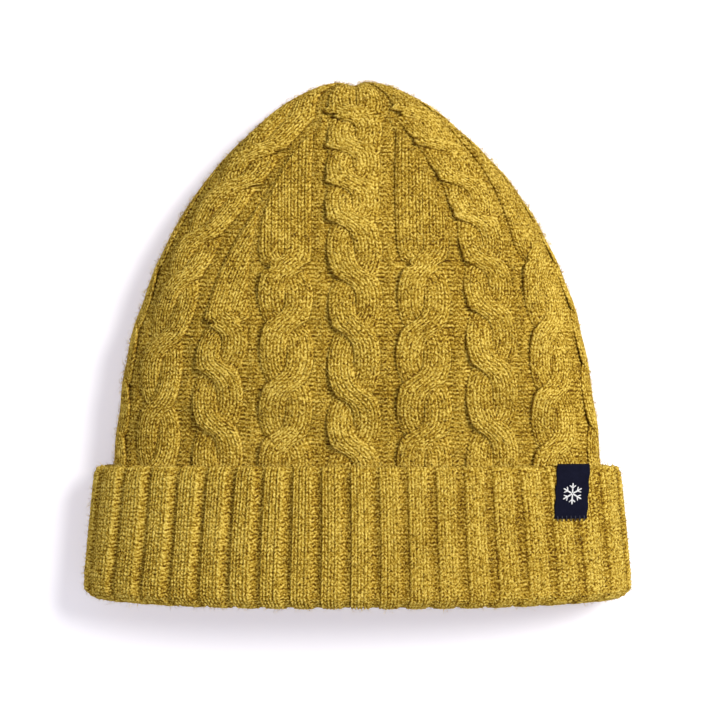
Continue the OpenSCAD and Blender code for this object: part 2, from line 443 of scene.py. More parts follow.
def crossings(c):
    """Heights along the body where the strands of column c cross, and which way."""
    c = 8 if c == -8 else c
    kind = c % 2
    near = c if c in CROSSINGS else (1 if c in NARROWING else (2 if kind == 0 else -3))
    heights = np.array(CROSSINGS[near], dtype=float)
    if c not in CROSSINGS:
        heights = heights + 3.0 * math.sin(c * 2.3)
    return heights + Y_TOP, (1.0 if kind == 0 else -1.0)


def twist(c, y):
    """Turn of the strands of column c about each other, and how far they lie flat side by side."""
    heights, _ = crossings(c)
    step = heights[1] - heights[0]
    knots = np.concatenate([[heights[0] - step], heights])
    turns = math.pi * (np.arange(len(knots)) - 0.5)
    angle = np.interp(y, knots, turns)
    angle = np.where(y < knots[0], turns[0] + (y - knots[0]) / step * math.pi, angle)
    end = knots[-1] + 0.5 * (knots[-1] - knots[-2])
    rest = turns[-1] + math.pi / 2
    angle = np.where(y > knots[-1], mix(turns[-1], rest, ease((y - knots[-1]) / (end - knots[-1]))), angle)
    flat = ease((y - knots[-1] - 3) / (end - knots[-1])) if c in NARROWING else np.zeros_like(y)
    return angle, flat


def strand(c, which):
    """One of the two strands of a cable, four wales wide: a closed tube that climbs over the other."""
    _, lean = crossings(c)
    wales = 4
    y_rows = BODY.y_at(np.arange(0, COURSES * ROWS + 1) / ROWS * COURSE)
    keep = np.flatnonzero(column_width(c, y_rows) > 2.0)
    v = np.arange(0, keep[-1] + 1)[:, None] / ROWS
    top = np.linspace(0, wales, wales * LEGS + 1)
    under = np.array([wales * 0.8, wales * 0.5, wales * 0.2])
    q = np.concatenate([top, under, [0.0]])[None, :]
    on_top = np.concatenate([np.ones(len(top)), np.zeros(len(under)), [1.0]])[None, :]
    q, v = np.broadcast_arrays(q, v)
    on_top = np.broadcast_to(on_top, q.shape)
    u = q / wales * 2 - 1
    sigma = np.clip((v + TILT * np.where(on_top > 0, off_middle(q), 1.0)) * COURSE, 0, BODY.sigma[-1])
    y = BODY.y_at(sigma)
    angle, flat = twist(c, y)
    turning = twist(c, y + 0.5)[0] - twist(c, y - 0.5)[0]
    angle = angle + math.pi * which
    quarter = CABLE / 4
    over = np.sin(angle)
    sway = np.tanh(SNAP * np.cos(angle)) / math.tanh(SNAP)
    slope = quarter * turning * SNAP * over * (1 - sway**2)
    across = lean * quarter * sway + u * quarter * 1.03 * np.sqrt(1 + 0.8 * slope**2)
    rows = np.arange(len(BODY.y))
    k = BODY.row(sigma)
    width = column_width(c, y)
    middle = np.interp(k, rows, CENTRE[c])
    dome = np.clip(1 - np.abs(u) ** 3, 0, 1) ** 0.6
    rope = TURN * over + CREST * dome - SINK
    side = np.where(np.cos(angle) * lean > 0, 1.0, -1.0)
    panel = 0.55 - 1.3 * ease((u * side - 0.72) / 0.28)
    height = mix(rope, panel, flat)
    height = height + knit_relief(q, v) * on_top * (0.8 + 0.2 * over)
    height = np.where(on_top > 0, height, mix(TURN * over * 0.5 - 1.6, -1.6, flat))
    if c in NARROWING:
        cut = NARROWING[c][3]
        inner = middle - cut * width / 2
        reach = COLUMN * 0.52 + cut * across
        limit = width - 0.5
        height = mix(height, -1.3, ease((reach - limit + 1.8) / 1.8))
        n = inner + cut * np.minimum(reach, limit)
    else:
        n = middle + across
    height = height * ease((Y_TIP - 0.5 - y) / 5)
    height = mix(-1.6 - 0.6 * (on_top == 0), height, ease((y - Y_TOP + TUCK) / (TUCK - 1)))
    point = on_body(n, sigma, height)
    # Painted shade: lighter on the loops of the stitches and on the higher strand at a crossing, darker down
    # in the grooves and on the strand beneath
    relief = np.clip(knit_relief(q, v) / KNIT_H, 0, 1) * on_top
    deep = np.clip((height + 1.0) / 4.2, 0, 1)
    shade = np.stack([mix(relief, deep, 0.25), stitch_chance(q + wales * which + c * 8, v, 1)], -1)
    return grid_mesh("strand", point, shade, np.stack([q + 9.0 * which + 20.0 * c, v], -1),
                     around=True, caps=True, patch=(which, 2))


def ground():
    """The fabric under the cables: purl gutters outside, plain fabric inside, closed at mouth and tip."""
    wales = 3.0
    mouth = float(BODY.sigma_at(Y_TOP))
    inner_rows = np.linspace(BODY.sigma[-1] - 2, mouth, INSIDE_ROWS)
    v_outer = np.arange(0, int((BODY.sigma[-1] - mouth) / COURSE) * ROWS + 1) / ROWS + mouth / COURSE
    sigma = np.concatenate([inner_rows, v_outer * COURSE])
    inside = np.concatenate([np.ones(INSIDE_ROWS), np.zeros(len(v_outer))])[:, None]
    gut = np.linspace(0, 0.5, 5)
    # Side of the column and place across the purl gutter; the middle is plain, hidden by the cable
    steps = [(-1, g) for g in gut] + [(0, 0.6)] + [(1, g) for g in gut[:0:-1]]
    parts = []
    rows = np.arange(len(BODY.y))
    k = BODY.row(sigma)
    y = BODY.y_at(sigma)
    for c in range(-7, 9):
        width = column_width(c, y)
        middle = np.interp(k, rows, CENTRE[c])
        half_gut = np.minimum(GUTTER / 2 / np.maximum(width, 0.1), 0.45)
        for side, g in steps:
            share = side * (0.5 - half_gut * g / 0.5)
            parts.append((middle + share * width, np.full_like(y, g * wales + c * wales),
                          np.full_like(y, 1.0 if g <= 0.5 else 0.0)))
    n, q, purl = (np.stack(part, 1) for part in zip(*parts, parts[0]))
    v = np.broadcast_to(sigma[:, None] / COURSE, n.shape)
    relief = purl_relief(q, v)
    edge = np.clip(np.abs((q / wales) - np.round(q / wales)) / 0.5, 0, 1)
    height = np.where(purl > 0, GROUND + relief - 0.5 * edge, -1.7)
    height = np.where(inside > 0, -BODY_T - 0.8 + 0.25 * np.cos(2 * math.pi * v), height)
    point = on_body(n, np.broadcast_to(sigma[:, None], n.shape), height)
    # Painted shade: the purl ridges lighter, the dips between them darker
    shade = np.stack([np.clip(0.42 + 0.30 * relief / PURL_H, 0, 1), stitch_chance(q, v, 2)], -1)
    return grid_mesh("ground", point, shade, np.stack([q, v], -1), around=True, caps=True)


# ---------------------------------------------------------------- ribs
def rib_columns():
    """Places of the rib's columns of vertices: share of the way round, wale, and 1 for knit."""
    share, wale, knit = [], [], []
    pitch = KNIT_RIB + PURL_RIB
    for rib in range(RIBS):
        for i in range(3 * LEGS):
            share.append((rib + KNIT_RIB / pitch * i / (3 * LEGS)) / RIBS)
            wale.append(i / LEGS)
            knit.append(1.0)
        for i in range(PURL_STEPS):
            share.append((rib + (KNIT_RIB + PURL_RIB * i / PURL_STEPS) / pitch) / RIBS)
            wale.append(3 + i / 4)
            knit.append(0.0)
    share.append(1.0)
    wale.append(0.0)
    knit.append(1.0)
    return np.array(share), np.array(wale), np.array(knit)


RIB_UP, RIB_DOWN = 0.95, 1.35        # a rib's crest and groove, from the fabric's middle


def rib_relief(wale, knit, v, strength=1.0):
    """Height of the rib fabric: raised knit wales and sunken purl wales."""
    crest = 0.35 * RIB_UP + 0.65 * RIB_UP * np.sin(math.pi * np.clip(wale / 3, 0, 1)) ** 0.6
    groove = -RIB_DOWN * np.sin(math.pi * np.clip((wale - 3) / 2, 0, 1)) ** 0.7
    plain = np.where(knit > 0, crest, 0.35 * RIB_UP + groove)
    stitches = np.where(knit > 0, knit_relief(wale, v), 0.8 * purl_relief(wale, v))
    return plain * strength + stitches


def rib_shade(relief, wale, knit, v):
    """Painted shade of the yarn: lighter on the loops of the stitches and up on the ribs, darker down in the
    grooves.
    """
    loops = np.where(knit > 0, knit_relief(wale, v) / KNIT_H, 0.5 + 0.4 * purl_relief(wale, v) / PURL_H)
    return mix(np.clip(loops, 0, 1), np.clip((relief + 1.4) / 3.0, 0, 1), 0.28)


class RibForm:
    """The band's section, grown outwards by r, with the flare of the folded edge."""

    def __init__(self):
        self.growths = np.linspace(-6, 14, 41)
        forms = [Form([(0.0, BAND_HALF + r, SIDE_Z, SIDE_Z - LIFT + r, BAND_UP + r),
                       (1.0, BAND_HALF + r, SIDE_Z, SIDE_Z - LIFT + r, BAND_UP + r)])
                 for r in self.growths]
        self.x = np.stack([f.x[0] for f in forms])
        self.z = np.stack([f.z[0] for f in forms])
        self.lengths = forms[12].lengths[0]

    def at(self, share, y, r_x, r_z):
        """Point at a share of the way round from the middle of the back, clockwise seen from the mouth."""
        total = self.lengths.sum()
        way = np.abs(share * 2 - 1)                     # 1 at the back, 0 at the front
        side = np.where(share < 0.5, -1.0, 1.0)
        front = self.lengths[0] / total
        f = np.where(way < front, way / front * 0.5, 0.5 + 0.5 * (way - front) / (1 - front))
        m = np.clip(f * 2 * Form.STEPS, 0, 2 * Form.STEPS - 0.001)
        m0 = m.astype(int)
        dm = m - m0

        def look(table, r):
            g = np.clip((r - self.growths[0]) / (self.growths[1] - self.growths[0]), 0,
                        len(self.growths) - 1.001)
            g0 = g.astype(int)
            dg = g - g0
            low = table[g0, m0] * (1 - dm) + table[g0, m0 + 1] * dm
            high = table[g0 + 1, m0] * (1 - dm) + table[g0 + 1, m0 + 1] * dm
            return low * (1 - dg) + high * dg

        return np.stack([side * look(self.x, r_x), y, look(self.z, r_z)], -1)


RIB = RibForm()
RIB_SHIFT = 0.5 + (1.05 - KNIT_RIB / 2) / 470.0   # a rib lies in the middle of the front


def profile(points):
    """Even, fine steps along a line of (distance from the fold, growth, flare share, courses per row)."""
    line = np.array([p[:3] for p in points], dtype=float)
    fine = np.array([p[3] for p in points], dtype=float)
    rows, lengths = [], []
    run = 0.0
    for a, b, step in zip(line, line[1:], fine):
        length = math.hypot(b[0] - a[0], b[1] - a[1])
        count = max(1, round(length / (COURSE * step)))
        for i in range(count):
            rows.append(mix(a, b, i / count))
            lengths.append(run + length * i / count)
        run += length
    rows.append(line[-1])
    lengths.append(run)
    return np.array(rows), np.array(lengths)


CUFF_FACE = LIFT - 0.5               # growth of the cuff's outer fabric
FOLD_FACE = -BAND_T + 0.6            # and of its turned-in fabric at the fold
BACK_FACE = CUFF_GAP + 0.4           # and of its side that faces the band


def fold_point(a):
    """Distance from the fold, growth and flare share at angle a round the roll, 0 being the outside."""
    flare = (1 + math.cos(a)) / 2
    return ROLL * (1 - math.sin(a)), mix(FOLD_FACE, CUFF_FACE, flare), flare


def rib_grid(loop, pick):
    """The loop's rows, their direction along it, and share, wale, knit and course of every vertex."""
    line, run = profile(loop)
    share, wale, knit = (column[pick] for column in rib_columns())
    v, wale = np.broadcast_arrays(run[:, None] / COURSE, wale[None, :])
    knit, share = (np.broadcast_to(a[None, :], v.shape) for a in (knit, share))
    return line, unit(np.gradient(line[:, :2], axis=0)), share, wale, knit, v


def rib_mesh(name, point, relief, share, wale, knit, v, seed):
    """A closed loop of rib fabric with its painted shade, drawn from the relief, and its gauge."""
    shade = np.stack([rib_shade(relief, wale, knit, v), stitch_chance(wale + share * 977, v, seed)], -1)
    gauge = np.stack([wale + np.floor(share * RIBS) * 7.0, v], -1)
    return grid_mesh(name, point, shade, gauge, along=True, caps=True)


RIM_IN = 1.5                         # the cuff's top edge leans in to this far off the band
RIM_D = CUFF_H - 1.6                 # where the rim starts to round


def cuff_part(first, last):
    """Ribs first to last of the turned-up cuff: a closed loop from the fold, up the outside, over the top
    edge, down behind, and round the fold."""
    fine, coarse = 1 / ROWS, 2.0
    thick = (CUFF_FACE - RIM_IN) / 2
    loop = [(*fold_point(0.0), fine), (RIM_D, CUFF_FACE, 0.03, fine)]
    loop += [(RIM_D + 1.5 * math.sin(a), RIM_IN + thick * (1 + math.cos(a)), 0.02, fine)
             for a in np.radians((30, 60, 90, 120, 150, 180))]
    loop += [(CUFF_H - 4.5, RIM_IN, 0.04, coarse), (CUFF_H - 8, BACK_FACE, 0.1, coarse),
             (ROLL + 1, BACK_FACE, 0.7, coarse),
             (ROLL + 0.5, -BAND_T + 1.2, 0.0, 1.0), (ROLL, FOLD_FACE, 0.0, fine)]
    loop += [(*fold_point(a), fine) for a in np.radians(np.linspace(170, 0, 18))]
    pick = slice(first * PER_RIB, last * PER_RIB + 1)
    line, step, share, wale, knit, v = rib_grid(loop, pick)
    outer = (line[:, 1] > CUFF_GAP + 1.2) | (line[:, 0] < ROLL + 0.3)
    lean = np.where(knit > 0, off_middle(wale), 1.0) * TILT * COURSE
    from_top = CUFF_H - line[:, 0]
    at_edges = mix(0.3, 1.0, ease(from_top / 4.0)) * mix(0.28, 1.0, ease(line[:, 0] / 14))
    strength = np.where(outer, at_edges, 0.15)
    relief = rib_relief(wale, knit, v, strength[:, None]) * np.where(outer, 1.0, 0.3)[:, None]
    out_y, out_r = -step[:, 1][:, None], step[:, 0][:, None]
    slide = np.clip(from_top / 6, 0, 1) * np.clip(line[:, 0] / 8, 0, 1) * (line[:, 1] > LIFT - 0.8)
    along_y, growth = (np.broadcast_to(line[:, i][:, None], v.shape) for i in (0, 1))
    flare = FLARE * line[:, 2][:, None]
    sway = 0.0008 * np.sin(share * 39.0 + 1.0) * np.sin(along_y / 17.0)
    place = np.mod(share + RIB_SHIFT + sway, 1.0)
    plain = RIB.at(place, along_y, growth + flare, growth + 0.3 * flare)
    relief = relief * (1 - 0.75 * under_label(plain[..., 0], along_y, plain[..., 2]))
    y = Y_FOLD + along_y + out_y * relief - lean * slide[:, None]
    r = growth + out_r * relief
    point = RIB.at(place, y, r + flare, r + 0.3 * flare)
    point[..., 1] += cuff_edge(point[..., 0], along_y)
    point[..., 2] = pressed(point[..., 2])
    return rib_mesh("cuff", point, relief, share, wale, knit, v, 3)


def cuff_edge(x, d):
    """The folded edge bows: a little longer in the middle than at its ends."""
    fold = 1 - np.clip(d / CUFF_H, 0, 1)
    return fold * (0.8 + 3.4 * (np.abs(x) / 115) ** 3.0) - (1 - fold) * 0.6 * (np.abs(x) / 110) ** 2


def under_label(x, d, z):
    """1 where the label presses the ribs flat, d being the distance from the fold."""
    across = ease((LABEL_W / 2 + PRESS_OUT - np.abs(x - LABEL_X + LABEL_SET)) / 1.6)
    return across * ease((d - CUFF_H + LABEL_H + 1.5) / 1.5) * (z > SIDE_Z)


BAND_LIP = 1.2                       # the band's edge stands up where it was folded


def band_part(first, last):
    """Part of the inner band: rib outside and inside, closed all round."""
    fine, coarse = 1 / 3, 1 / 2
    start, face, back = ROLL - 1.5, -0.8, -BAND_T + 0.8
    loop = [(start, BAND_LIP, 0.0, fine), (start + 1.2, BAND_LIP, 0.0, fine), (start + 2.6, face, 0.0, fine),
            (CUFF_H + 0.3, face, 0.0, coarse), (CUFF_H + 0.3, back, 0.0, coarse), (start, back, 0.0, 1.0),
            (start, BAND_LIP, 0.0, fine)]
    pick = np.arange(first * PER_RIB, last * PER_RIB + 1, 2)
    line, step, share, wale, knit, v = rib_grid(loop, pick)
    relief = 0.55 * rib_relief(wale, knit, v, 1.0)
    y = Y_FOLD + line[:, 0][:, None] + np.zeros_like(relief)
    r = line[:, 1][:, None] + step[:, 0][:, None] * relief
    point = RIB.at(np.mod(share + RIB_SHIFT, 1.0), y, r, r)
    # The band's painted shade is drawn from its relief made 1.8 times deeper
    return rib_mesh("band", point, relief * 1.8, share, wale, knit, v, 4)


# ---------------------------------------------------------------- materials
def node(tree, kind, **settings):
    """Adds a shader node; settings name its properties, and i_ before a socket's name sets its value."""
    made = tree.nodes.new(kind)
    for key, value in settings.items():
        if key.startswith("i_"):
            name = key[2:].replace("_", " ")
            spot = made.inputs[int(name)] if name.isdigit() else made.inputs[name]
            spot.default_value = value
        else:
            setattr(made, key, value)
    return made


def ramp(tree, stops, source):
    """Colours of source between the stops of (position, colour)."""
    made = tree.nodes.new("ShaderNodeValToRGB")
    made.color_ramp.elements[0].position, made.color_ramp.elements[0].color = stops[0]
    made.color_ramp.elements[1].position, made.color_ramp.elements[1].color = stops[-1]
    for position, colour in stops[1:-1]:
        made.color_ramp.elements.new(position).color = colour
    tree.links.new(source, made.inputs["Fac"])
    return made.outputs["Color"]


# Ramp of the yarn's colours, for the heathered fibres and for painted shade: the darkest is painted shade down
# between the stitches, the palest lies on the crests of the surface
FIBRE_AND_SHADE_RAMP = [(0.00, (0.080, 0.034, 0.006, 1)), (0.26, (0.205, 0.108, 0.008, 1)),
          (0.50, (0.405, 0.256, 0.026, 1)), (0.72, (0.590, 0.405, 0.065, 1)),
          (1.00, (0.810, 0.610, 0.135, 1))]


def new_group(name, inputs, outputs):
    """A shader group with its sockets; returns it, its input node and its output node."""
    group = bpy.data.node_groups.new(name, "ShaderNodeTree")
    for label, value in inputs:
        group.interface.new_socket(label, in_out="INPUT", socket_type="NodeSocketFloat").default_value = value
    for label, kind in outputs:
        group.interface.new_socket(label, in_out="OUTPUT", socket_type="NodeSocket" + kind)
    return group, group.nodes.new("NodeGroupInput"), group.nodes.new("NodeGroupOutput")


def noise(group, vector, scale, detail, roughness):
    """Noise between 0 and 1 at the vector."""
    made = node(group, "ShaderNodeTexNoise", i_Scale=scale, i_Detail=detail, i_Roughness=roughness)
    group.links.new(vector, made.inputs["Vector"])
    return made.outputs["Fac"]


def bump(tree, shader, height, strength, distance):
    """Fine relief of a material, its depth in metres."""
    made = node(tree, "ShaderNodeBump", i_Strength=strength, i_Distance=distance)
    tree.links.new(height, made.inputs["Height"])
    tree.links.new(made.outputs["Normal"], shader.inputs["Normal"])


def weighted(group, start, parts):
    """start plus the sum of each part times its weight."""
    total = None
    for source, weight in parts:
        made = node(group, "ShaderNodeMath", operation="MULTIPLY_ADD", i_1=weight, i_2=start)
        group.links.new(source, made.inputs[0])
        if total:
            group.links.new(total, made.inputs[2])
        total = made.outputs[0]
    return total


def heather_group():
    """Heathered wool: fibres of several shades lying along the yarn, with painted shade that makes it darker
    down between the stitches and lighter on their crests.
    It follows the stitches through the Stitch map, and the painted shade and chance through the Yarn
    attribute."""
    group, start, end = new_group("heather_wool", [("Lightness", 0.0)],
                                  [("Color", "Color"), ("Height", "Float")])
    link = group.links.new
    gauge = node(group, "ShaderNodeUVMap", uv_map="Stitch")
    where = node(group, "ShaderNodeTexCoord")
    yarn = node(group, "ShaderNodeAttribute", attribute_name="Yarn")
    split = group.nodes.new("ShaderNodeSeparateColor")
    link(yarn.outputs["Color"], split.inputs["Color"])
    along = node(group, "ShaderNodeMapping", i_Scale=(1.9, 2.3, 1.0))
    link(gauge.outputs["UV"], along.inputs["Vector"])
    fibre = noise(group, along.outputs["Vector"], 1.0, 2.0, 0.6)
    fleck = noise(group, where.outputs["Object"], 1150.0, 1.0, 0.5)
    fine = noise(group, where.outputs["Object"], 2600.0, 1.0, 0.5)
    cloud = noise(group, where.outputs["Object"], 42.0, 2.0, 0.5)
    # The Red of the Yarn attribute is painted shade: it lightens the crests of the relief and darkens the
    # grooves
    weights = (1.25, 1.60, 1.15, 0.35, 0.70, 0.20)
    shade = weighted(group, 0.5 - 0.5 * sum(weights), list(zip(
        (fibre, fleck, fine, cloud, split.outputs["Red"], split.outputs["Green"]), weights))
        + [(start.outputs["Lightness"], 1.0)])
    link(ramp(group, FIBRE_AND_SHADE_RAMP, shade), end.inputs["Color"])
    link(weighted(group, 0.0, [(fibre, 0.8), (fleck, 1.0), (fine, 0.5)]), end.inputs["Height"])
    return group


def finish(name, roughness, specular, sheen=0.0, tint=(1, 1, 1, 1)):
    """A material with its plain values set on the shader; returns it, its tree and its shader."""
    made = bpy.data.materials.new(name)
    made.use_nodes = True
    shader = made.node_tree.nodes["Principled BSDF"]
    shader.inputs["Roughness"].default_value = roughness
    shader.inputs["Specular IOR Level"].default_value = specular
    shader.inputs["Sheen Weight"].default_value = sheen
    shader.inputs["Sheen Roughness"].default_value = 0.5
    shader.inputs["Sheen Tint"].default_value = tint
    return made, made.node_tree, shader


def wool(name, lightness):
    """Dull heathered wool, lighter or darker by lightness."""
    made, tree, shader = finish(name, 0.95, 0.03, 0.05, (1.0, 0.72, 0.10, 1))
    yarn = tree.nodes.new("ShaderNodeGroup")
    yarn.node_tree = HEATHER
    yarn.inputs["Lightness"].default_value = lightness
    tree.links.new(yarn.outputs["Color"], shader.inputs["Base Color"])
    bump(tree, shader, yarn.outputs["Height"], 0.5, 0.0005)
    return made


def weave_group():
    """Threads of a narrow woven ribbon, crossing over and under, on the Weave map in threads."""
    group, _, end = new_group("ribbon_weave", [], [("Over", "Float"), ("Height", "Float")])
    link = group.links.new
    threads = node(group, "ShaderNodeUVMap", uv_map="Weave")
    checks = node(group, "ShaderNodeTexChecker", i_Scale=1.0)
    link(threads.outputs["UV"], checks.inputs["Vector"])
    part = group.nodes.new("ShaderNodeSeparateXYZ")
    link(threads.outputs["UV"], part.inputs["Vector"])
    waves = []
    for axis in ("X", "Y"):
        turn = node(group, "ShaderNodeMath", operation="MULTIPLY", i_1=math.pi)
        link(part.outputs[axis], turn.inputs[0])
        wave = node(group, "ShaderNodeMath", operation="SINE")
        link(turn.outputs[0], wave.inputs[0])
        size = node(group, "ShaderNodeMath", operation="ABSOLUTE")
        link(wave.outputs[0], size.inputs[0])
        waves.append(size.outputs[0])
    chosen = node(group, "ShaderNodeMix", data_type="FLOAT")
    link(checks.outputs["Fac"], chosen.inputs["Factor"])
    link(waves[0], chosen.inputs["A"])
    link(waves[1], chosen.inputs["B"])
    link(checks.outputs["Fac"], end.inputs["Over"])
    link(chosen.outputs["Result"], end.inputs["Height"])
    return group


def ribbon(name, dark, light, gloss):
    """Woven ribbon between a dark and a light colour: painted shade makes it lighter on the crests of the
    threads and darker where they dip, the threads lying over are a little lighter, and the tone varies at
    random.
    """
    made, tree, shader = finish(name, 0.7, gloss)
    weave = tree.nodes.new("ShaderNodeGroup")
    weave.node_tree = WEAVE
    where = tree.nodes.new("ShaderNodeTexCoord")
    worn = noise(tree, where.outputs["Object"], 500.0, 3.0, 0.6)
    # Painted shade from the threads' height, plus the threads lying over and a random tone
    shade = weighted(tree, -0.2, [(weave.outputs["Height"], 0.45), (weave.outputs["Over"], 0.15),
                                  (worn, 0.55)])
    tree.links.new(ramp(tree, [(0.1, dark), (0.75, light)], shade), shader.inputs["Base Color"])
    bump(tree, shader, weave.outputs["Height"], 0.7, 0.0001)
    return made


def thread(name, dark, light):
    """Twisted sewing thread."""
    made, tree, shader = finish(name, 0.55, 0.3, 0.1)
    where = tree.nodes.new("ShaderNodeTexCoord")
    fibre = noise(tree, where.outputs["Object"], 2500.0, 2.0, 0.6)
    tree.links.new(ramp(tree, [(0.35, dark), (0.65, light)], fibre), shader.inputs["Base Color"])
    bump(tree, shader, fibre, 0.5, 0.00008)
    return made


HEATHER = heather_group()
WEAVE = weave_group()
CABLE_WOOL = wool("cable_wool", 0.0)
# The cuff is the same yarn as the cables, painted a little darker: painted shade
RIB_WOOL = wool("rib_wool", -0.03)
INNER_WOOL = wool("inner_wool", -0.06)
SEAM_WOOL = wool("seam_wool", -0.03)
FUZZ_WOOL = wool("loose_fibres", 0.22)
NAVY = ribbon("label_navy", (0.0016, 0.0018, 0.0070, 1), (0.0075, 0.0085, 0.0230, 1), 0.06)
SATIN = ribbon("care_satin", (0.62, 0.61, 0.58, 1), (0.88, 0.87, 0.84, 1), 0.4)
PALE_THREAD = thread("figure_thread", (0.50, 0.50, 0.50, 1), (0.80, 0.80, 0.79, 1))
DARK_THREAD = thread("label_thread", (0.0030, 0.0034, 0.0080, 1), (0.030, 0.032, 0.052, 1))
CARE_THREAD = thread("care_thread", (0.42, 0.42, 0.42, 1), (0.72, 0.72, 0.71, 1))


# ---------------------------------------------------------------- yarns and threads
def tube(name, path, radius, sides, plies=0, twist_mm=3.0, closed=False):
    """A round strand along a path; plies twists it out of that many yarns. Its ends are tapered shut."""
    path = np.asarray(path, dtype=float)
    ahead = np.roll(path, -1, 0) - np.roll(path, 1, 0) if closed else np.gradient(path, axis=0)
    ahead = unit(ahead)
    across = np.empty_like(path)
    across[0] = np.cross(ahead[0], [0.3, 0.2, 1.0])
    for i in range(1, len(path)):
        across[i] = across[i - 1] - ahead[i] * np.dot(across[i - 1], ahead[i])
        across[i] /= max(np.linalg.norm(across[i]), 1e-9)
    across[0] /= max(np.linalg.norm(across[0]), 1e-9)
    other = np.cross(ahead, across)
    run = run_along(path)
    thick = np.broadcast_to(np.asarray(radius, dtype=float), run.shape).copy()
    if not closed:
        thick[[0, -1]] *= 0.35
    angle = np.linspace(0, 2 * math.pi, sides + 1)[None, :]
    lobes = 1 + (0.16 * np.cos(plies * (angle - 2 * math.pi * run[:, None] / twist_mm)) if plies else 0)
    size = thick[:, None] * lobes
    point = (path[:, None] + across[:, None] * (size * np.cos(angle))[..., None]
             + other[:, None] * (size * np.sin(angle))[..., None])
    if closed:
        point = np.concatenate([point, point[:1]])
        run = np.append(run, run[-1] + 1)
        size = np.concatenate([size, size[:1]])
        thick = np.append(thick, thick[0])
    gauge = np.stack(np.broadcast_arrays(angle / 3, run[:, None] / COURSE), -1)
    # Painted shade: darker in the grooves between the plies, lighter on their lobes
    deep = np.clip(0.5 + 3.0 * (size / thick[:, None] - 1), 0, 1) + 0 * angle
    shade = np.stack([deep, 0 * deep + 0.5], -1)
    return grid_mesh(name, point, shade, gauge, around=True, along=closed, caps=not closed)


def smooth_path(points, count):
    """A smooth curve through a few points."""
    points = np.asarray(points, dtype=float)
    t = run_along(points)
    slope = np.gradient(points, t, axis=0)
    at = np.linspace(0, t[-1], count)
    k = np.clip(np.searchsorted(t, at, side="right") - 1, 0, len(t) - 2)
    h = (t[k + 1] - t[k])[:, None]
    u = (at - t[k])[:, None] / h
    return ((2 * u**3 - 3 * u**2 + 1) * points[k] + (u**3 - 2 * u**2 + u) * h * slope[k]
            + (3 * u**2 - 2 * u**3) * points[k + 1] + (u**3 - u**2) * h * slope[k + 1])


def ridge(name, path, up, width, height):
    """A seam: a low closed ridge of joined edge stitches along a path, standing up along up."""
    run = run_along(path)
    steps = int(run[-1] / COURSE * ROWS)
    even = np.linspace(0, run[-1], steps + 1)
    path, up = (np.stack([np.interp(even, run, part[:, i]) for i in range(3)], -1)
                for part in (path, up))
    side = unit(np.cross(unit(np.gradient(path, axis=0)), up))
    angle = np.linspace(0, 2 * math.pi, 25)[None, :]
    v = even[:, None] / COURSE
    bulge = 1 + 0.16 * np.cos(2 * math.pi * v + 2.2 * np.sin(angle)) * (np.sin(angle) > -0.2)
    split = 1 - 0.45 * np.exp(-((angle - math.pi / 2) / 0.22) ** 2)
    out = side[:, None] * (np.cos(angle) * width / 2 * bulge)[..., None]
    rise = up[:, None] * (np.sin(angle) * height * bulge * split)[..., None]
    point = path[:, None] + out + rise
    # Painted shade: darker down the split in the middle of the seam and between its stitches, lighter on their
    # bulges
    shade = np.stack(np.broadcast_arrays(0.2 + 0.8 * split * (bulge - 0.84) / 0.32, 0.5 + 0 * v), -1)
    return grid_mesh(name, point, shade, np.stack(np.broadcast_arrays(angle, v), -1), around=True, caps=True)


def back_seam():
    """Runs up the inside of the back, over the band and the body."""
    ys = np.linspace(Y_FOLD + 7, Y_TOP, 20)[:-1]
    band = np.stack([0 * ys, ys, 0 * ys + LIFT + BAND_T + 0.1], -1)
    sigma = np.linspace(BODY.sigma_at(Y_TOP), BODY.sigma_at(91.0), 60)
    body = BODY.at(np.ones(60), sigma, np.full(60, -BODY_T - 0.7))
    path = np.concatenate([band, body])
    path[:, 2] = pressed(path[:, 2])
    kernel = np.ones(7) / 7
    padded = np.concatenate([path[:1].repeat(3, 0), path, path[-1:].repeat(3, 0)])
    path = np.stack([path[:, 0], path[:, 1], np.convolve(padded[:, 2], kernel, "valid")], -1)
    return ridge("back_seam", path, np.tile([0.0, 0.0, 1.0], (len(path), 1)), SEAM_W, 1.5)


def cuff_seam():
    """Joins the cuff behind, on its turned-in face and round the fold, where it makes a small bump."""
    path, up = [], []
    for d in (CUFF_H - 2, CUFF_H / 2, ROLL + 3):
        path.append((0.3, Y_FOLD + d, LIFT - CUFF_GAP - 0.6))
        up.append((0.0, 0.0, 1.0))
    for a in np.radians(np.linspace(178, 40, 12)):
        d, r, _ = fold_point(a)
        path.append((0.3, Y_FOLD + d + 0.9, LIFT - r))
        up.append((0.0, -math.sin(a), -math.cos(a)))
    return ridge("cuff_seam", np.array(path), np.array(up), SEAM_W - 0.6, 1.2)


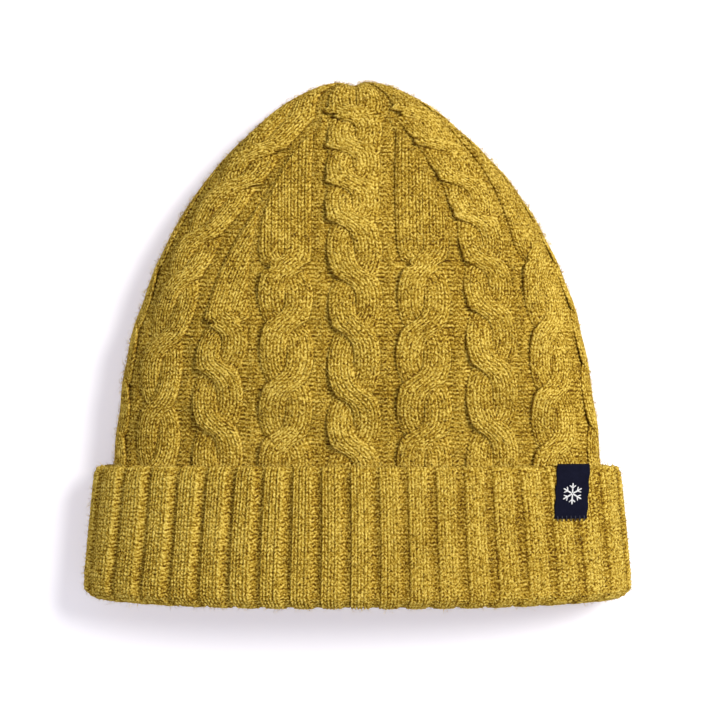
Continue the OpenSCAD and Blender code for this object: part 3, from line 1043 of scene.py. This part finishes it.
def closing_yarn():
    """Yarn drawn through the last stitches of the crown, its knot and its tail."""
    middle = (RING_LO + RING_HI) / 2
    thick = (RING_HI[1] - RING_LO[1]) / 2
    radius = (RING_HI[0] - RING_LO[0]) / 2 - thick
    turn = np.linspace(0, 2 * math.pi, 97)[:-1]
    ring = np.stack([middle[0] + radius * np.cos(turn), middle[1] + 0.25 * np.sin(5 * turn),
                     middle[2] + radius * np.sin(turn)], -1)
    heart = (KNOT_LO + KNOT_HI) / 2
    t = np.linspace(0, 2 * math.pi, 121)[:-1]
    loops = np.stack([np.sin(t) + 2 * np.sin(2 * t), np.cos(t) - 2 * np.cos(2 * t), -1.1 * np.sin(3 * t)], -1)
    knot = heart + loops * (KNOT_HI[0] - KNOT_LO[0]) / 2 / 3.9
    inside = [BODY.at(np.array(1.0), BODY.sigma_at(y), np.array(-BODY_T - 0.4))[2]
              for y in (98.0, 93.0, 88.0, 83.5)]
    tail = smooth_path([(heart[0], heart[1] - 0.8, heart[2] - 1.5),
                        (4.4, 101.0, mix(heart[2], inside[0], 0.6)), (5.6, 97.0, inside[0] + 1.0),
                        (6.6, 92.5, inside[1] + 0.9), (5.9, 88.0, inside[2] + 0.9),
                        (6.5, 83.5, inside[3] + 0.9)], 60)
    return (tube("ring", ring, thick, 16, 2, 3.2, True), tube("knot", knot, thick * 0.72, 14, 2, 3.2, True),
            tube("tail", tail, thick * 0.9, 14, 2, 3.2))


# ---------------------------------------------------------------- labels
def cloth_sheet(name, point, thread_mm, thickness):
    """A thin woven strip whose vertices lie at point[row, column], given its thickness afterwards."""
    rows, columns = point.shape[:2]
    bm = bmesh.new()
    bmesh.ops.create_grid(bm, x_segments=columns - 1, y_segments=rows - 1, size=1)
    bm.verts.ensure_lookup_table()
    for vert, place in zip(bm.verts, point.reshape(-1, 3)):
        vert.co = place * MM
    weave = bm.loops.layers.uv.new("Weave")
    down, along = run_along(point[:, 0]), run_along(point[0])
    for face in bm.faces:
        for loop in face.loops:
            row, column = divmod(loop.vert.index, columns)
            loop[weave].uv = (along[column] / thread_mm, down[row] / thread_mm)
    bm.normal_update()
    bmesh.ops.solidify(bm, geom=bm.faces[:], thickness=thickness * MM)
    bmesh.ops.recalc_face_normals(bm, faces=bm.faces[:])
    me = bpy.data.meshes.new(name)
    bm.to_mesh(me)
    bm.free()
    return me


def on_cuff(x, d, r):
    """Point on the upper half of the cuff at plan place x and distance d from the fold, grown by r."""
    flare = FLARE * np.clip(1 - d / CUFF_H, 0, 1)
    t = np.arccos(np.clip(x / (BAND_HALF + r + flare), 0, 1) ** (FRONT_ROUND / 2))
    px, pz = oval(t, BAND_HALF + r + flare, SIDE_Z, SIDE_Z - LIFT + r, BAND_UP + r + 0.3 * flare)
    return np.stack(np.broadcast_arrays(px, Y_FOLD + d, pz), -1)


LABEL_FACE = LIFT + 0.75             # the label lies on the pressed ribs


def label():
    """A strip folded over the cuff's top edge, its sides a little wavy."""
    rise = (LABEL_FACE - RIM_IN + 0.5) / 2
    outer = [(CUFF_H - LABEL_H + t, LABEL_FACE) for t in np.linspace(0, LABEL_H + 0.2, 60)]
    over = [(CUFF_H + 0.2 + 0.9 * math.sin(a), LABEL_FACE - rise * (1 - math.cos(a)))
            for a in np.radians(np.linspace(10, 170, 16))]
    behind = [(d, RIM_IN - 0.5) for d in np.linspace(CUFF_H + 0.1, CUFF_H - LABEL_FLAP, 24)]
    way = np.array(outer + over + behind)
    u = np.linspace(-1, 1, 41)
    d, r = way[:, 0][:, None], way[:, 1][:, None]
    lean = LABEL_LEAN * np.clip(1 - (d - CUFF_H + LABEL_H) / LABEL_H, 0, 1)
    x = LABEL_X - lean + u[None, :] * (LABEL_W / 2 + 0.18 * np.sin(d * 0.9 + 1.0) * np.abs(u)[None, :] ** 3)
    lift = 0.22 * ripple(x, d, seed=5, size=9.0) * (r > LABEL_FACE - 0.1) + 0.25 * np.abs(u[None, :]) ** 6
    lift = lift * ease((d - (CUFF_H - LABEL_H)) / 2) * (r > LABEL_FACE - 0.1)
    return cloth_sheet("label", on_cuff(x, d + 0 * x, r + lift), 0.36, 0.55)


def on_label(x, y, rise):
    """Point x to the right of the label's middle and y above the middle of its figure."""
    d = (MOTIF_LO[1] + MOTIF_HI[1]) / 2 - Y_FOLD + y
    return on_cuff(LABEL_X - LABEL_SET + 0.06 * y + x, d, LABEL_FACE + 0.25 + rise)


def stitched_bar(a, b, width, rise):
    """A low bar of satin stitches from a to b on the label."""
    a, b = np.array(a), np.array(b)
    ahead = (b - a) / np.linalg.norm(b - a)
    side = np.array([-ahead[1], ahead[0]])
    turn = np.linspace(0, 2 * math.pi, 11)
    rows = []
    for t in np.linspace(0, 1, max(6, int(np.linalg.norm(b - a) / 0.22))):
        end = math.sqrt(max(0.0, 1 - abs(2 * t - 1) ** 8)) * 0.9 + 0.1
        rows.append([on_label(*(mix(a, b, t) + side * width / 2 * end * math.cos(k)),
                              rise * (0.3 + end * math.sin(k))) for k in turn])
    point = np.array(rows)
    plain = np.full(point.shape[:2] + (2,), 0.5)
    return grid_mesh("bar", point, plain, plain, around=True, caps=True)


def figure():
    """Six-armed snowflake worked on the label."""
    arm = (MOTIF_HI[1] - MOTIF_LO[1]) / 2
    bars = []
    for k in range(6):
        turn = math.radians(60 * k + 90)
        out = np.array([math.cos(turn), math.sin(turn)])
        bars.append(stitched_bar(out * 0.15, out * arm, 0.62, 0.20))
        for side in (-1, 1):
            way = np.array([math.cos(turn + side * 0.87), math.sin(turn + side * 0.87)])
            bars.append(stitched_bar(out * arm * 0.52, out * arm * 0.52 + way * arm * 0.40, 0.5, 0.17))
    return bars


def bar_stitches():
    """Short stitches that hold the label's lower edge."""
    made = []
    low = Y_TOP - LABEL_H - (MOTIF_LO[1] + MOTIF_HI[1]) / 2
    for k in range(7):
        x = (k - 3) * LABEL_W / 7.4
        path = [on_label(x + dx, low + dy, h) for dx, dy, h in
                ((0.1, -0.9, -0.9), (0.05, -0.75, -0.1), (0, -0.1, 0.22), (-0.05, 0.7, 0.2), (-0.1, 1.0, -0.1),
                 (-0.1, 1.1, -0.5))]
        made.append(tube("stitch", smooth_path(path, 14), 0.24, 8, 2, 1.2))
    return made


def care_label():
    """Folded satin label lying beside the seam inside the band, its raw ends caught in the upper edge."""
    x0, y0, y1 = CARE_LO[0], CARE_LO[1], CARE_HI[1]
    base = LIFT + BAND_T + 0.05
    way = [(y1 - t, 0.15) for t in np.linspace(0, CARE_L - 0.7, 34)]
    way += [(y0 + 0.6 - 0.5 * math.sin(a), 0.55 - 0.4 * math.cos(a))
            for a in np.radians(np.linspace(0, 180, 12))]
    way += [(y0 + t, 0.95) for t in np.linspace(0.7, CARE_L - 0.4, 34)]
    way = np.array(way)
    x = np.linspace(x0, x0 + CARE_W, 33)[None, :]
    y, z = way[:, 0][:, None], way[:, 1][:, None]
    lift = 0.35 * ripple(x, y, seed=9, size=17.0) * ease((y1 - y) / 8) + 0.4 * ease((y1 - y) / 25)
    point = np.stack(np.broadcast_arrays(x, y, base + z + np.maximum(lift, 0)), -1)
    return cloth_sheet("care_label", point, 0.3, 0.25)


def care_stitches():
    """Short stitches across the care label's caught edge."""
    made = []
    y = CARE_HI[1] - 1.6
    z = LIFT + BAND_T + 1.15
    for k in range(7):
        x = CARE_LO[0] + CARE_W * (k + 0.5) / 7
        path = [(x - 1.3, y, z - 0.7), (x - 1.1, y, z + 0.05), (x, y + 0.05, z + 0.22), (x + 1.1, y, z + 0.05),
                (x + 1.3, y, z - 0.7)]
        made.append(tube("stitch", smooth_path(path, 14), 0.22, 8, 2, 1.2))
    return made


# ---------------------------------------------------------------- loose fibres
RAISED = 0.42                        # fibres stand only where the relief is above this


def fuzz(name, sources, count, seed):
    """Loose wool fibres standing off the knit: thin tapered hairs on the raised parts of the sources."""
    rng = np.random.default_rng(SEED + seed)
    roots, normals = [], []
    for obj in sources:
        me = obj.data
        co = np.empty(len(me.vertices) * 3)
        no = np.empty(len(me.vertices) * 3)
        me.vertices.foreach_get("co", co)
        me.vertex_normals.foreach_get("vector", no)
        tint = np.empty(len(me.vertices) * 4)
        me.color_attributes["Yarn"].data.foreach_get("color", tint)
        place = co.reshape(-1, 3) / MM
        free = under_label(place[:, 0], place[:, 1] - Y_FOLD, place[:, 2]) == 0
        keep = (tint.reshape(-1, 4)[:, 0] > RAISED) & free
        roots.append(place[keep])
        normals.append(no.reshape(-1, 3)[keep])
    roots, normals = np.concatenate(roots), np.concatenate(normals)
    pick = rng.choice(len(roots), count, replace=False)
    root, normal = roots[pick], normals[pick]
    lie = rng.normal(size=(count, 3))
    lie -= normal * np.sum(lie * normal, 1, keepdims=True)
    lie /= np.linalg.norm(lie, axis=1, keepdims=True)
    length = rng.uniform(0.9, 3.6, (count, 1))
    rise = rng.uniform(0.2, 1.0, (count, 1))
    bend = rng.normal(size=(count, 3)) * 0.35
    spine = [root - normal * 0.25,
             root + length * 0.5 * (lie + normal * rise),
             root + length * (lie * 0.95 + normal * rise * 0.5 + bend * 0.5)]
    ahead = spine[2] - spine[0]
    ahead /= np.linalg.norm(ahead, axis=1, keepdims=True)
    side = np.cross(ahead, normal)
    side /= np.maximum(np.linalg.norm(side, axis=1, keepdims=True), 1e-9)
    other = np.cross(ahead, side)
    thick = rng.uniform(0.055, 0.095, (count, 1))
    angle = np.array([0.0, 1.0, 2.0, 3.0])[None, :, None] * 2 * math.pi / 3
    turn = side[:, None] * np.cos(angle) + other[:, None] * np.sin(angle)
    rings = [centre[:, None] + (thick * taper)[:, None] * turn
             for centre, taper in zip(spine, (1.0, 0.85, 0.25))]
    point = np.stack(rings, 1).reshape(count * 3, 4, 3)
    point[..., 2] = np.maximum(point[..., 2], 0.05)
    tone = np.repeat(rng.uniform(0.1, 1.0, (count, 1)), 12, 1).reshape(count * 3, 4)
    shade = np.stack([tone, tone], -1)
    return grid_mesh(name, point, shade, shade * 9, around=True, caps=True, bundle=3)


# ---------------------------------------------------------------- build
body_pieces, cuff_pieces, band_pieces = [], [], []
ON_HAT = (CABLE_WOOL, "hat", "cable_knit", "crown_body")
MIDDLES = {0: "front", 8: "back"}
for c in range(-7, 9):
    tag = "cable_" + MIDDLES.get(c, f"{'left' if c < 0 else 'right'}_{abs(c)}")
    body_pieces.append(add_piece(tag, [strand(c, 0), strand(c, 1)], *ON_HAT))
body_pieces.append(add_piece("purl_ground", [ground()], *ON_HAT))
CUFF_PARTS = 4                       # the cuff and the band are cut into this many pieces
for i in range(CUFF_PARTS):
    a, b = RIBS * i // CUFF_PARTS, RIBS * (i + 1) // CUFF_PARTS
    cuff_pieces.append(add_piece(f"cuff_ribs_{i + 1}", [cuff_part(a, b)],
                                 RIB_WOOL, "turn_up", "rib_knit", "cuff"))
    band_pieces.append(add_piece(f"band_ribs_{i + 1}", [band_part(a, b)],
                                 INNER_WOOL, "hat", "rib_knit", "rib_band"))
add_piece("seam_of_back", [back_seam()], SEAM_WOOL, "hat", "seam_yarn", "back_seam")
add_piece("seam_of_cuff", [cuff_seam()], SEAM_WOOL, "turn_up", "seam_yarn", "cuff_seam")
for tag, part in zip(("ring", "knot", "tail"), closing_yarn()):
    stands_for = "crown_" + tag.replace("ring", "yarn")
    add_piece("drawstring_" + tag, [part], SEAM_WOOL, "hat", "seam_yarn", stands_for)
tag_front = add_piece("woven_label", [label()], NAVY, "turn_up", "label_cloth", "label")
tag_figure = add_piece("snowflake", figure(), PALE_THREAD, "turn_up", "label_figure", "label_motif")
tag_thread = add_piece("label_bars", bar_stitches(), DARK_THREAD, "turn_up", "label_thread", "label_stitches")
care = add_piece("care_ribbon", [care_label()], SATIN, "hat", "care_cloth", "care_label")
care_thread = add_piece("care_bars", care_stitches(), CARE_THREAD, "hat", "care_thread", "care_stitches")
for i in (1, 2):
    add_piece(f"body_fibres_{i}", [fuzz("body_fibres", body_pieces, 10000, 20 + i)],
              FUZZ_WOOL, "hat", "cable_knit")
add_piece("cuff_fibres", [fuzz("cuff_fibres", cuff_pieces, 11000, 23)], FUZZ_WOOL, "turn_up", "rib_knit")


# ---------------------------------------------------------------- stage
def floor():
    """Plain pale table that looks white to the camera and still takes a shadow."""
    bm = bmesh.new()
    bmesh.ops.create_grid(bm, x_segments=1, y_segments=1, size=3.0)
    bmesh.ops.translate(bm, verts=bm.verts[:], vec=(0, 0, -0.0001))
    me = bpy.data.meshes.new("table")
    bm.to_mesh(me)
    bm.free()
    made = bpy.data.objects.new("table", me)
    bpy.context.scene.collection.objects.link(made)
    paint, tree, shader = finish("table_white", 0.9, 0.2)
    seen = tree.nodes.new("ShaderNodeLightPath")
    glow = node(tree, "ShaderNodeMath", operation="MULTIPLY", i_1=0.34)
    tree.links.new(seen.outputs["Is Camera Ray"], glow.inputs[0])
    tree.links.new(glow.outputs[0], shader.inputs["Emission Strength"])
    shader.inputs["Emission Color"].default_value = (0.93, 0.86, 1.0, 1)
    shader.inputs["Base Color"].default_value = (0.93, 0.93, 0.95, 1)
    me.materials.append(paint)


def area_light(name, place, size, power_w, colour):
    """A round lamp at place, turned to the hat."""
    data = bpy.data.lights.new(name, "AREA")
    data.shape = "DISK"
    data.size = size
    data.energy = power_w
    data.color = colour
    made = bpy.data.objects.new(name, data)
    made.location = place
    made.rotation_euler = (-made.location).to_track_quat("-Z", "Y").to_euler()
    bpy.context.scene.collection.objects.link(made)


def studio():
    """Soft light from a pale world, a key and a weak fill."""
    bpy.context.scene.view_settings.view_transform = "Standard"
    world = bpy.data.worlds.new("studio")
    bpy.context.scene.world = world
    world.use_nodes = True
    sky = world.node_tree.nodes["Background"].inputs
    sky["Color"].default_value = (0.97, 0.965, 1.0, 1)
    sky["Strength"].default_value = 0.43
    area_light("key", (0.8, 0.45, 1.15), 0.75, 22.5, (1.0, 0.985, 0.96))
    area_light("fill", (-0.8, -0.5, 1.3), 1.0, 3.2, (0.94, 0.95, 1.0))


def camera():
    """Looks straight down on the hat, seen_width metres wide at the hat's height."""
    data = bpy.data.cameras.new("camera")
    seen_width, distance = 0.3024, 1.5
    data.sensor_width = 36.0
    data.lens = data.sensor_width * distance / seen_width
    made = bpy.data.objects.new("camera", data)
    made.location = (0.00105, -0.00735, 0.022 + distance)
    bpy.context.scene.collection.objects.link(made)
    bpy.context.scene.camera = made


floor()
studio()
camera()
